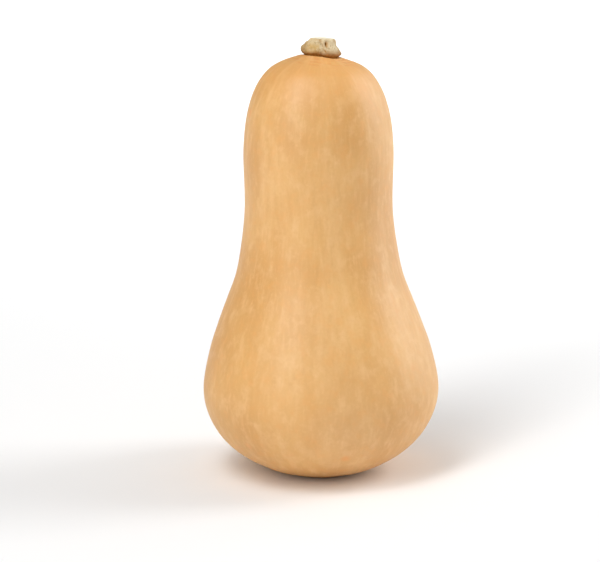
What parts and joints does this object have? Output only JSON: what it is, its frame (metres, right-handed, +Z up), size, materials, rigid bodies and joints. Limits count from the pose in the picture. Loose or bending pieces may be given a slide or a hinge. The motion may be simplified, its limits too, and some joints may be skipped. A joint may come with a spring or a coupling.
{
  "type": "butternut squash",
  "caption": "Whole ripe butternut squash standing on its broad seed end, with a long neck and a short ridged cork stem stub.",
  "frame": {"origin": "on the surface the squash stands on, under the middle of its bulb", "axes": "+Z up along the squash from its blossom end to its stem; -Y faces the viewer of the picture, +X to their right"},
  "size_m": [0.135, 0.1348, 0.2503],
  "materials": {
    "rind": "smooth satin skin, tan with faint lengthwise streaks",
    "stem_cork": "dry, matte, ridged cork with a pale cut end"
  },
  "bodies": {
    "root": {"fruit": "rind", "stem": "stem_cork"}
  },
  "joints": []
}
